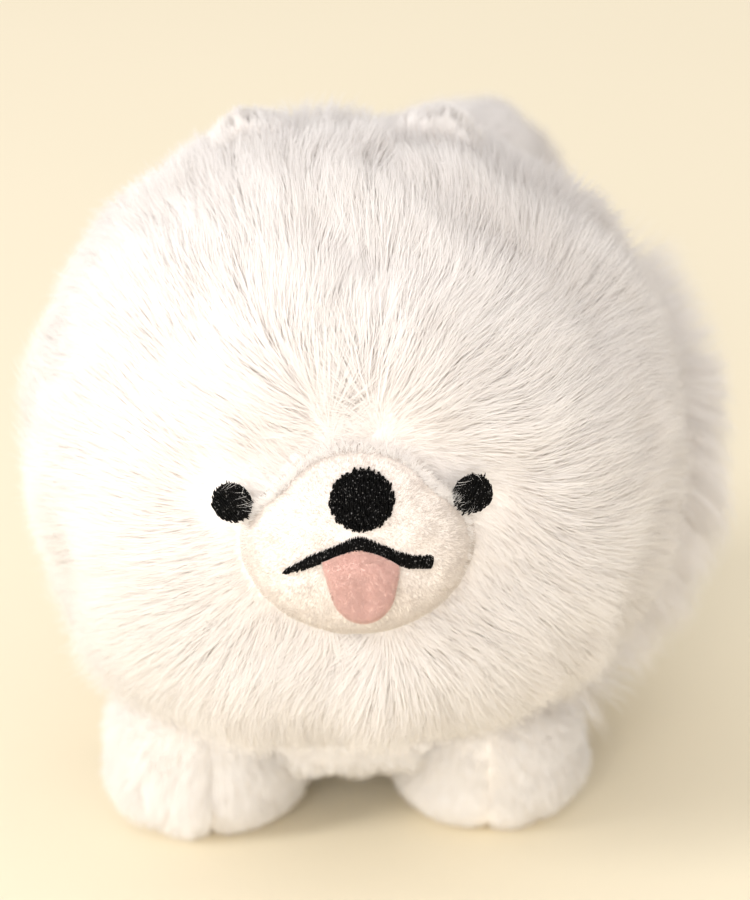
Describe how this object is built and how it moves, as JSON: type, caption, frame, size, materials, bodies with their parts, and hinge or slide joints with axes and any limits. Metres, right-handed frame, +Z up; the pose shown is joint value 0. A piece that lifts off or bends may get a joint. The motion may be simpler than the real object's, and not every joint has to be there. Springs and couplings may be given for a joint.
{
  "type": "plush dog",
  "caption": "Standing fluffy plush dog with a ball-shaped furry head, embroidered face, sewn tongue, curled tail and stubby legs that bend at their seams.",
  "frame": {"origin": "on the floor, under the middle of the whole toy's length and width", "axes": "+Z up, the dog faces -Y, its left side is +X"},
  "size_m": [0.152, 0.181, 0.1615],
  "materials": {
    "long_pile": "soft white long-pile faux fur with loose tips",
    "short_pile": "cream-white short brushed pile",
    "muzzle_pile": "cream very short velvety pile",
    "stuffing": "loose white polyester fibre",
    "black_thread": "black embroidery thread with a slight sheen",
    "tongue_pile": "pink short brushed fleece",
    "white_thread": "strong matt white sewing thread",
    "label_tape": "smooth blank woven tape"
  },
  "bodies": {
    "trunk": {"trunk_cover_left": "long_pile", "trunk_cover_right": "long_pile", "belly_gusset": "short_pile", "trunk_filling": "stuffing"},
    "neck": {"neck_stitch": "white_thread"},
    "head": {"head_cover_left": "long_pile", "head_cover_right": "long_pile", "head_filling": "stuffing", "muzzle_cover": "muzzle_pile", "nose_embroidery": "black_thread", "mouth_embroidery": "black_thread", "eye_embroidery_left": "black_thread", "eye_embroidery_right": "black_thread"},
    "tongue": {"tongue_front": "tongue_pile", "tongue_back": "tongue_pile"},
    "ear_left": {"ear_front_left": "short_pile", "ear_back_left": "long_pile"},
    "ear_right": {"ear_front_right": "short_pile", "ear_back_right": "long_pile"},
    "tail": {"tail_cover_left": "long_pile", "tail_cover_right": "long_pile", "tail_filling": "stuffing"},
    "label": {"care_label": "label_tape"},
    "leg_front_left": {"leg_outer_panel_front_left": "short_pile", "leg_inner_panel_front_left": "short_pile", "leg_sole_front_left": "short_pile", "leg_filling_front_left": "stuffing"},
    "leg_front_right": {"leg_outer_panel_front_right": "short_pile", "leg_inner_panel_front_right": "short_pile", "leg_sole_front_right": "short_pile", "leg_filling_front_right": "stuffing"},
    "leg_rear_left": {"leg_outer_panel_rear_left": "short_pile", "leg_inner_panel_rear_left": "short_pile", "leg_sole_rear_left": "short_pile", "leg_filling_rear_left": "stuffing"},
    "leg_rear_right": {"leg_outer_panel_rear_right": "short_pile", "leg_inner_panel_rear_right": "short_pile", "leg_sole_rear_right": "short_pile", "leg_filling_rear_right": "stuffing"}
  },
  "joints": [
    {"name": "neck_turn", "type": "hinge", "parent": "trunk", "child": "neck", "pos_m": [0, -0.022, 0.092], "axis": [0, 0, 1], "range_deg": [-14, 14], "stiffness_Nm_per_rad": 0.06},
    {"name": "head_nod", "type": "hinge", "parent": "neck", "child": "head", "pos_m": [0, -0.022, 0.092], "axis": [1, 0, 0], "range_deg": [-8, 10], "stiffness_Nm_per_rad": 0.12},
    {"name": "tongue_lift", "type": "hinge", "parent": "head", "child": "tongue", "pos_m": [0, -0.0892, 0.0871], "axis": [-1, 0, 0], "range_deg": [0, 55], "stiffness_Nm_per_rad": 0.0008},
    {"name": "tail_wag", "type": "hinge", "parent": "trunk", "child": "tail", "pos_m": [0.027, 0.0585, 0.121], "axis": [0, 0.8283, -0.5602], "range_deg": [-22, 22], "stiffness_Nm_per_rad": 0.02},
    {"name": "label_flap", "type": "hinge", "parent": "trunk", "child": "label", "pos_m": [0, 0.07477, 0.04301], "axis": [0, 0.4695, 0.8829], "range_deg": [-50, 50], "stiffness_Nm_per_rad": 0.0003},
    {"name": "ear_flop_left", "type": "hinge", "parent": "head", "child": "ear_left", "pos_m": [0.01789, -0.01723, 0.14865], "axis": [0.9536, 0, -0.3011], "range_deg": [-12, 12], "stiffness_Nm_per_rad": 0.004},
    {"name": "ear_flop_right", "type": "hinge", "parent": "head", "child": "ear_right", "pos_m": [-0.01789, -0.01723, 0.14865], "axis": [0.9536, 0, 0.3011], "range_deg": [-12, 12], "stiffness_Nm_per_rad": 0.004},
    {"name": "leg_swing_front_left", "type": "hinge", "parent": "trunk", "child": "leg_front_left", "pos_m": [0.0315, -0.015, 0.007], "axis": [1, 0, 0], "range_deg": [-10, 10], "stiffness_Nm_per_rad": 0.3},
    {"name": "leg_swing_front_right", "type": "hinge", "parent": "trunk", "child": "leg_front_right", "pos_m": [-0.0315, -0.015, 0.007], "axis": [1, 0, 0], "range_deg": [-10, 10], "stiffness_Nm_per_rad": 0.3},
    {"name": "leg_swing_rear_left", "type": "hinge", "parent": "trunk", "child": "leg_rear_left", "pos_m": [0.0315, 0.037, 0.007], "axis": [1, 0, 0], "range_deg": [-10, 10], "stiffness_Nm_per_rad": 0.3},
    {"name": "leg_swing_rear_right", "type": "hinge", "parent": "trunk", "child": "leg_rear_right", "pos_m": [-0.0315, 0.037, 0.007], "axis": [1, 0, 0], "range_deg": [-10, 10], "stiffness_Nm_per_rad": 0.3}
  ]
}
